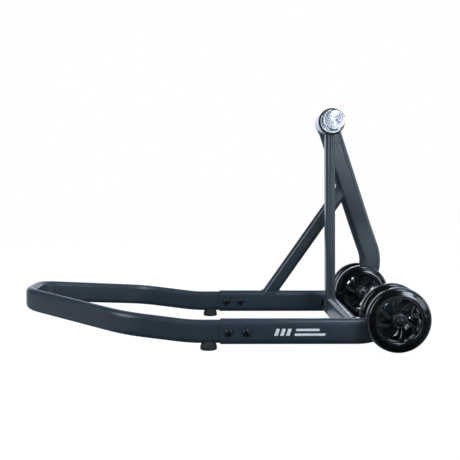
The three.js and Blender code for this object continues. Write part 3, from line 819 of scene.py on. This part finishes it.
def button_mesh(name, length, head=7.0, height=BUTTON_HEIGHT, shank=4.0, key=5.0):
    """Dome head at y < 0 with a hexagon socket; the shank runs from y = 0 to `length`."""
    depth = height * 0.58
    crown = lambda r: -height * (0.22 + 0.78 * math.sqrt(max(0.0, 1 - (r / head) ** 2)))
    hexa = lambda grow: (lambda a: hex_radius(a, key) + grow)
    rows = [(None, -height + depth + 0.5), (hexa(-0.5), -height + depth), (hexa(-0.05), -height + depth),
            (hexa(0.0), crown(key * 0.55) + 0.5), (hexa(0.35), lambda a: crown(hex_radius(a, key) + 0.35))]
    for t in (0.25, 0.5, 0.75, 0.9, 1.0):
        outer = head * 0.985
        rows.append((lambda a, t=t: (hex_radius(a, key) + 0.35) * (1 - t) + outer * t,
                     lambda a, t=t: crown((hex_radius(a, key) + 0.35) * (1 - t) + outer * t)))
    rows += [(head, -height * 0.2), (head, -0.35), (head - 0.35, 0.0), (shank, 0.0)]
    y = 1.0
    while y < length - 1.2:
        rows += [(shank, y), (shank - 0.35, y + 0.6)]
        y += 1.25
    rows += [(shank - 0.2, length - 0.9), (shank - 0.9, length), (None, length)]
    return polar_solid(name, rows, BLACK)


def nut_mesh(name, across=13.0, height=8.0, bore=4.0, material=ZINC):
    """Nylon-insert nut from y = 0 to `height`: chamfered hexagon, rolled collar."""
    top, collar = height * 0.74, across / 2 - 0.5
    face = lambda a: hex_radius(a, across) - 0.02
    slope = math.tan(rad(28))
    low = lambda a: max(0.0, (hex_radius(a, across) - across / 2 - 0.15) * slope)
    rows = [(bore, 0.6), (bore + 0.7, 0.0), (across / 2 - 0.3, 0.0), (face, low),
            (face, lambda a: top - max(0.0, (hex_radius(a, across) - across / 2 - 0.1) * slope)),
            (collar, top + 0.15), (collar, height - 1.3), (collar - 0.5, height - 0.35),
            (collar - 1.3, height), (bore + 1.0, height), (bore + 0.1, height - 0.6), (bore, 0.6)]
    return polar_solid(name, rows, material)


def put(data, name, body, slot, node, at, turn=0.0):
    """Places shared fastener or wheel mesh data at a point (mm), turned about Z."""
    obj = bpy.data.objects.new(name, data)
    obj.location = Vector(at) * MM
    obj.rotation_euler = (0, 0, turn)
    bpy.context.scene.collection.objects.link(obj)
    return placed(obj, body, slot, *([node] if node else []))


lever_bolt = button_mesh("button_bolt_33", 33)
lever_nut = nut_mesh("lock_nut_m8")
FACE = OVAL[1] / 2 + GAP
for label, y in (("near", -SIDE_Y), ("far", SIDE_Y)):
    for i, x in enumerate(LEVER_BOLT_X, 1):
        put(lever_bolt, f"{label}_lever_screw_{i}", "root", "black_hardware",
            f"{label}_lever_bolt_{i}", (x, y - FACE, RAIL_Z))
        put(lever_nut, f"{label}_lever_locknut_{i}", "root", "zinc_hardware",
            f"{label}_lever_nut_{i}", (x, y + FACE, RAIL_Z))

cross_screw = button_mesh("button_bolt_34", 34, height=3.6)
cross_locknut = nut_mesh("lock_nut_wide", 15.0, material=BLACK)
put(cross_screw, "cross_screw", "root", "black_hardware", "cross_bolt",
    (CROSS_X + FACE, CROSS_BOLT_Y, RAIL_Z), math.pi / 2)
put(cross_locknut, "cross_locknut", "root", "black_hardware", "cross_nut",
    (CROSS_X - FACE, CROSS_BOLT_Y, RAIL_Z), math.pi / 2)

# ------------------------------------------------------------------ wheels

HUB_HALF, HUB_SEAT = 12.5, 11.2
SPOKES, SKEW = 8, rad(27)
SPOKE_FROM, SPOKE_TO = 12.6, 38.4
OUTER_Y, INNER_Y = 202.0, 144.0


def lathe_mesh(name, outline, material, sides=96, sharp=38.0):
    obj = lathe(name, outline, material, sides, sharp=sharp)
    data = obj.data
    bpy.data.objects.remove(obj)
    return data


def tyre_mesh():
    """Urethane tread: a conical wall rising from a small bead ring to a rounded running band."""
    half_w = WHEEL_W / 2
    wall = [(CORE_R - 0.1, -half_w + 2.2), (CORE_R + 0.4, -half_w + 0.9), (CORE_R + 1.0, -half_w + 0.2),
            (CORE_R + 1.8, -half_w), (CORE_R + 2.6, -half_w + 0.12), (CORE_R + 5.5, -half_w + 0.95)]
    wall += [(CORE_R + 5.5 + 5.7 * t, -half_w + 0.95 + 2.1 * t) for t in (0.25, 0.5, 0.75, 1.0)]
    for i in range(1, 15):
        t = i / 14
        a, b, c, d = Vector(wall[9]), Vector((53.2, -8.9)), Vector((WHEEL_R, -5.2)), Vector((WHEEL_R, 0))
        p = a * (1 - t) ** 3 + b * (3 * t * (1 - t) ** 2) + c * (3 * t * t * (1 - t)) + d * t ** 3
        wall.append(tuple(p))
    outline = wall + [(r, -y) for r, y in reversed(wall[:-1])]
    return lathe_mesh("tyre_tread", outline, TYRE, 128, 30)


def spoke_solid(index):
    """One spiral spoke: two full-depth ribs joined by a thinner web."""
    steps, verts, faces = 12, [], []
    half_w, rib, deep, thin = 2.9, 1.3, 6.2, 2.0
    section = rounded([
        (-half_w, -deep, 0.5), (-half_w + rib, -deep, 0.5), (-half_w + rib + 0.4, -thin, 0.4),
        (half_w - rib - 0.4, -thin, 0.4), (half_w - rib, -deep, 0.5), (half_w, -deep, 0.5),
        (half_w, deep, 0.5), (half_w - rib, deep, 0.5), (half_w - rib - 0.4, thin, 0.4),
        (-half_w + rib + 0.4, thin, 0.4), (-half_w + rib, deep, 0.5), (-half_w, deep, 0.5)], steps=2)
    for i in range(steps + 1):
        t = i / steps
        r = SPOKE_FROM + (SPOKE_TO - SPOKE_FROM) * t
        angle = index * 2 * math.pi / SPOKES + SKEW * (1 - t)
        centre = Vector((r * math.cos(angle), 0, r * math.sin(angle)))
        ahead_r, ahead_a = r + 0.1, angle - SKEW * 0.1 / (SPOKE_TO - SPOKE_FROM)
        ahead = Vector((ahead_r * math.cos(ahead_a), 0, ahead_r * math.sin(ahead_a)))
        t_dir = (ahead - centre).normalized()
        side = Vector((0, 1, 0)).cross(t_dir)
        wide = 0.72 + 0.34 * t
        for u, v in section:
            verts.append(tuple(centre + side * (u * wide) + Vector((0, v, 0))))
    count = len(section)
    for i in range(steps):
        for k in range(count):
            j = (k + 1) % count
            faces.append((i * count + k, i * count + j, (i + 1) * count + j, (i + 1) * count + k))
    faces.append(tuple(range(count)))
    faces.append(tuple(range(steps * count, (steps + 1) * count)))
    return mesh_object(f"spoke_{index}", verts, faces, CORE)


def core_mesh():
    """Moulded wheel centre: lipped rim, stepped hub and eight double-rib spokes, in one piece."""
    rim = lathe("core_rim", rounded([
        (36.9, -9.4, 0.3), (37.3, -10.4, 0.3), (38.4, -11.4, 0.4), (39.7, -11.4, 0.3), (39.7, 11.4, 0.3),
        (38.4, 11.4, 0.4), (37.3, 10.4, 0.3), (36.9, 9.4, 0.3), (36.2, 7.5, 0.3), (36.2, -7.5, 0.3)]),
        CORE, 96)
    hub = lathe("core_hub", rounded([
        (HUB_SEAT, -12.5, 0.3), (12.4, -12.5, 0.4), (12.7, -11.2, 0.4), (13.4, -8.6, 0.6), (13.6, -7, 0.4),
        (13.6, 7, 0.4), (13.4, 8.6, 0.6), (12.7, 11.2, 0.4), (12.4, 12.5, 0.4), (HUB_SEAT, 12.5, 0.3),
        (HUB_SEAT, 5.2, 0.1), (8.5, 5.2, 0.1), (8.5, -5.2, 0.1), (HUB_SEAT, -5.2, 0.1)]), CORE, 96)
    spokes = [spoke_solid(i) for i in range(SPOKES)]
    obj = shaped(rim, "UNION", hub, *spokes)
    data = obj.data
    bpy.data.objects.remove(obj)
    return data


def bearing_mesh():
    """Outer and inner steel races from y = 0 to 7, with relief for the seals."""
    return lathe_mesh("bearing_races", rounded([
        (4.4, 0, 0.3), (6.1, 0, 0.3), (6.3, 0.7, 0.1), (9.2, 0.7, 0.1), (9.4, 0, 0.3), (10.9, 0, 0.4),
        (10.9, 7, 0.4), (9.4, 7, 0.3), (9.2, 6.3, 0.1), (6.3, 6.3, 0.1), (6.1, 7, 0.3), (4.4, 7, 0.3)]),
        BEARING, 72, 30)


def seal_mesh():
    """One rubber bearing seal, a thin dished ring facing -Y."""
    return lathe_mesh("bearing_seal_ring", rounded([
        (6.35, 0.35, 0.15), (6.9, 0.25, 0.15), (7.4, 0.45, 0.15), (8.6, 0.45, 0.15), (9.1, 0.25, 0.15),
        (9.15, 0.75, 0.1), (6.35, 0.75, 0.1)]), SEAL, 72, 30)


tyre_data, core_data, bearing_data, seal_data = tyre_mesh(), core_mesh(), bearing_mesh(), seal_mesh()
WHEELS = {"near_outer": -OUTER_Y, "near_inner": -INNER_Y, "far_inner": INNER_Y, "far_outer": OUTER_Y}
# degrees that each wheel's core is turned about its axle
PHASE = {"near_outer": 6.0, "near_inner": 21.0, "far_inner": 18.0, "far_outer": 21.0}


def wheel_piece(data, name, wheel, slot, y=0.0, node=None, flip=False):
    at = (AXLE_X, WHEELS[wheel] + y, WHEEL_R)
    put(data, name, f"{wheel}_wheel", slot, node, at, math.pi if flip else 0.0)


for wheel in WHEELS:
    wheel_piece(tyre_data, f"{wheel}_tread", wheel, "tyre", node=f"{wheel}_wheel_tyre")
    turned_core = core_data.copy()
    turned_core.transform(Matrix.Rotation(-rad(PHASE[wheel]), 4, "Y"))
    wheel_piece(turned_core, f"{wheel}_centre", wheel, "wheel_core", node=f"{wheel}_wheel_core")
    for label, y, flip in (("a", -HUB_HALF, False), ("b", HUB_HALF, True)):
        wheel_piece(bearing_data, f"{wheel}_races_{label}", wheel, "bearing_steel", y,
                    f"{wheel}_wheel_bearing_{label}", flip)
        wheel_piece(seal_data, f"{wheel}_seal_{label}", wheel, "rubber", y, None, flip)

washer_mesh = lathe_mesh("axle_washer", rounded([
    (4.4, 0, 0.25), (8.4, 0, 0.4), (8.4, WASHER_T, 0.4), (4.4, WASHER_T, 0.25)]), ZINC, 64)
dark_washer_mesh = washer_mesh.copy()
dark_washer_mesh.materials[0] = BLACK
for label, side in (("near", -1), ("far", 1)):
    turn = 0.0 if side < 0 else math.pi
    low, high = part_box(f"{label}_axle_bolt")
    length = (high.y - low.y) / MM - BUTTON_HEIGHT
    data = button_mesh(f"axle_screw_{label}", length)
    outer_y = side * (OUTER_Y + HUB_HALF + GAP)
    put(data, f"{label}_axle_screw", "root", "black_hardware", f"{label}_axle_bolt",
        (AXLE_X, outer_y + side * SEAT_T, WHEEL_R), turn)
    put(dark_washer_mesh, f"{label}_axle_head_washer", "root", "black_hardware", f"{label}_axle_washer",
        (AXLE_X, outer_y + side * WASHER_T, WHEEL_R), turn)
    inner_y = side * (INNER_Y - HUB_HALF - GAP)
    put(washer_mesh, f"{label}_axle_end_washer", "root", "zinc_hardware", f"{label}_axle_nut_washer",
        (AXLE_X, inner_y, WHEEL_R), turn)
    put(lever_nut, f"{label}_axle_locknut", "root", "zinc_hardware", f"{label}_axle_nut",
        (AXLE_X, inner_y - side * SEAT_T, WHEEL_R), turn)

    for part in ("outer", "inner"):
        low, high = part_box(f"{label}_{part}_spacer")
        width = (high.y - low.y) / MM
        sleeve = lathe(f"{label}_{part}_sleeve", rounded([
            (4.4, 0, 0.2), (7, 0, 0.4), (7, width, 0.4), (4.4, width, 0.2)]), ZINC, 64,
            at=(AXLE_X, low.y / MM, WHEEL_R))
        placed(sleeve, "root", "zinc_hardware", f"{label}_{part}_spacer")

# ------------------------------------------------------------------ plain mark on the near rail


def film_bar(corners):
    """A thin raised film patch on the rail's outer face, from (x, z) corners."""
    face, thick = -SIDE_Y - OVAL[1] / 2 - 0.02, 0.16
    verts = [(x, face, z) for x, z in corners] + [(x, face - thick, z) for x, z in corners]
    n = len(corners)
    faces = [tuple(range(n)), tuple(range(n, 2 * n))]
    faces += [(k, (k + 1) % n, n + (k + 1) % n, n + k) for k in range(n)]
    return verts, faces


def mark():
    """A plain mark: three slanted bars and two lines."""
    verts, faces = [], []
    low, high, lean = RAIL_Z - 6.0, RAIL_Z + 6.0, 4.0
    bars = [(96, 102), (106, 112), (116, 122)]
    shapes = [[(a, low), (b, low), (b + lean, high), (a + lean, high)] for a, b in bars]
    shapes.append([(130, low), (182, low), (182 + lean / 3, low + 4), (130 + lean / 3, low + 4)])
    shapes.append([(130 + lean * 2 / 3, high - 4), (172, high - 4), (172 + lean / 3, high),
                   (130 + lean, high)])
    for shape in shapes:
        v, f = film_bar(rounded(shape, 0.8, 3))
        faces += [tuple(i + len(verts) for i in face) for face in f]
        verts += v
    return mesh_object("rail_mark", verts, faces, MARK)


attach(mark(), "root")

# ------------------------------------------------------------------ CAD nodes that stay showing


def repaint(node, material):
    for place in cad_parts[node].material_slots:
        place.material = material


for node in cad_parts:
    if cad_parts[node].hide_render:
        continue
    kind = ZINC
    if node == "cross_spigot":
        kind = PAINT
    elif node == "receiver_bush":
        kind = NYLON
    repaint(node, kind)

# ------------------------------------------------------------------ floor, light, world

bpy.ops.mesh.primitive_grid_add(x_subdivisions=4, y_subdivisions=4, size=16, location=(0, 0, 0))
floor = bpy.context.active_object
floor.name = "studio_floor"
floor.data.materials.append(FLOOR)
floor.visible_glossy = False
floor.visible_diffuse = False
floor.visible_shadow = False


def softbox(name, at, target, size, power, colour=(1, 1, 1)):
    data = bpy.data.lights.new(name, "AREA")
    data.shape = "RECTANGLE"
    data.size, data.size_y = size
    data.energy = power
    data.color = colour
    light = bpy.data.objects.new(name, data)
    light.location = at
    light.rotation_euler = (Vector(target) - Vector(at)).to_track_quat("-Z", "Y").to_euler()
    light.visible_camera = False
    bpy.context.scene.collection.objects.link(light)
    return light


# name, place, target, size in metres, watts, colour
SOFTBOXES = [
    ("front_right_high", (1.1, -1.4, 1.3), (0.1, 0, 0.2), (0.9, 0.9), 3.2, (0.69, 0.82, 1.0)),
    ("front_left", (-1.2, -1.5, 0.6), (0, 0, 0.1), (0.8, 0.8), 14.6, (0.89, 0.95, 1.0)),
    ("front_left_high", (-1.1, -1.4, 1.4), (0, 0, 0.1), (0.8, 0.8), 9.13, (0.81, 1.0, 0.99)),
    ("right", (1.9, 0, 0.5), (0, 0, 0.1), (0.8, 0.8), 5.45, (0.87, 0.95, 1.0)),
    ("bounce_right", (0.65, -0.85, 0.015), (0.65, -0.85, 1), (0.7, 0.4), 2.6, (0.71, 0.89, 1.0)),
    ("bounce_far_right", (0.65, -1.3, 0.015), (0.65, -1.3, 1), (0.7, 0.5), 12.9, (0.86, 0.91, 1.0)),
    ("beside_camera", (0.95, -1.5, 0.7), (0.2, 0.1, 0.3), (0.4, 0.5), 6.69, (0.76, 0.87, 1.0)),
    ("back_right", (0.55, 2.4, 0.45), (0.1, 0, 0.1), (0.4, 0.7), 3.02, (0.89, 0.99, 1.0)),
    ("top_front_right", (0.8, -0.7, 1.8), (0.1, 0, 0.1), (0.7, 0.7), 18.2, (0.69, 0.83, 1.0)),
    ("wheel_streak", (1.35, -1.35, 0.42), (0.3, -0.2, 0.06), (0.5, 0.5), 2.83, (0.72, 0.86, 1.0)),
]
for name, at, target, size, power, colour in SOFTBOXES:
    softbox(name, at, target, size, power, colour)

# broad glows of the surrounding studio: azimuth from +X, elevation, spread in degrees, strength, colour
GLOWS = [
    (135, -50, 30, 0.345, (0.34, 0.73, 1.0)),
    (0, -18, 20, 1.05, (0.88, 0.89, 1.0)),
    (180, -18, 20, 0.976, (0.8, 0.83, 1.0)),
    (112.5, 4, 20, 1.48, (0.8, 0.89, 1.0)),
    (45, 26, 20, 1.16, (0.61, 0.91, 1.0)),
    (90, 26, 20, 1.26, (0.77, 0.71, 1.0)),
    (180, 26, 20, 0.261, (0.34, 0.47, 1.0)),
]

world = bpy.data.worlds.new("studio")
bpy.context.scene.world = world
world.use_nodes = True
tree = world.node_tree
tree.nodes.clear()
out = tree.nodes.new("ShaderNodeOutputWorld")
mix = tree.nodes.new("ShaderNodeMixShader")
path_node = tree.nodes.new("ShaderNodeLightPath")
seen = tree.nodes.new("ShaderNodeBackground")
seen.inputs["Color"].default_value = (1, 1, 1, 1)
seen.inputs["Strength"].default_value = 1.0
coord = tree.nodes.new("ShaderNodeTexCoord")
unit = tree.nodes.new("ShaderNodeVectorMath")
unit.operation = "NORMALIZE"
tree.links.new(coord.outputs["Generated"], unit.inputs[0])
lit = None
for azimuth, elevation, spread, strength, colour in GLOWS:
    flat = math.cos(rad(elevation))
    toward = tree.nodes.new("ShaderNodeVectorMath")
    toward.operation = "DOT_PRODUCT"
    toward.inputs[1].default_value = (flat * math.cos(rad(azimuth)), flat * math.sin(rad(azimuth)),
                                      math.sin(rad(elevation)))
    falloff = tree.nodes.new("ShaderNodeMath")
    falloff.operation = "MULTIPLY_ADD"
    falloff.inputs[1].default_value = 0.7 / (1 - math.cos(rad(spread)))
    falloff.inputs[2].default_value = -falloff.inputs[1].default_value
    bell = tree.nodes.new("ShaderNodeMath")
    bell.operation = "EXPONENT"
    scaled = tree.nodes.new("ShaderNodeMath")
    scaled.operation = "MULTIPLY"
    scaled.inputs[1].default_value = strength
    glow = tree.nodes.new("ShaderNodeBackground")
    glow.inputs["Color"].default_value = (*colour, 1)
    tree.links.new(unit.outputs[0], toward.inputs[0])
    tree.links.new(toward.outputs["Value"], falloff.inputs[0])
    tree.links.new(falloff.outputs[0], bell.inputs[0])
    tree.links.new(bell.outputs[0], scaled.inputs[0])
    tree.links.new(scaled.outputs[0], glow.inputs["Strength"])
    if lit is None:
        lit = glow
    else:
        both = tree.nodes.new("ShaderNodeAddShader")
        tree.links.new(lit.outputs[0], both.inputs[0])
        tree.links.new(glow.outputs[0], both.inputs[1])
        lit = both
tree.links.new(path_node.outputs["Is Camera Ray"], mix.inputs[0])
tree.links.new(lit.outputs[0], mix.inputs[1])
tree.links.new(seen.outputs[0], mix.inputs[2])
tree.links.new(mix.outputs[0], out.inputs["Surface"])
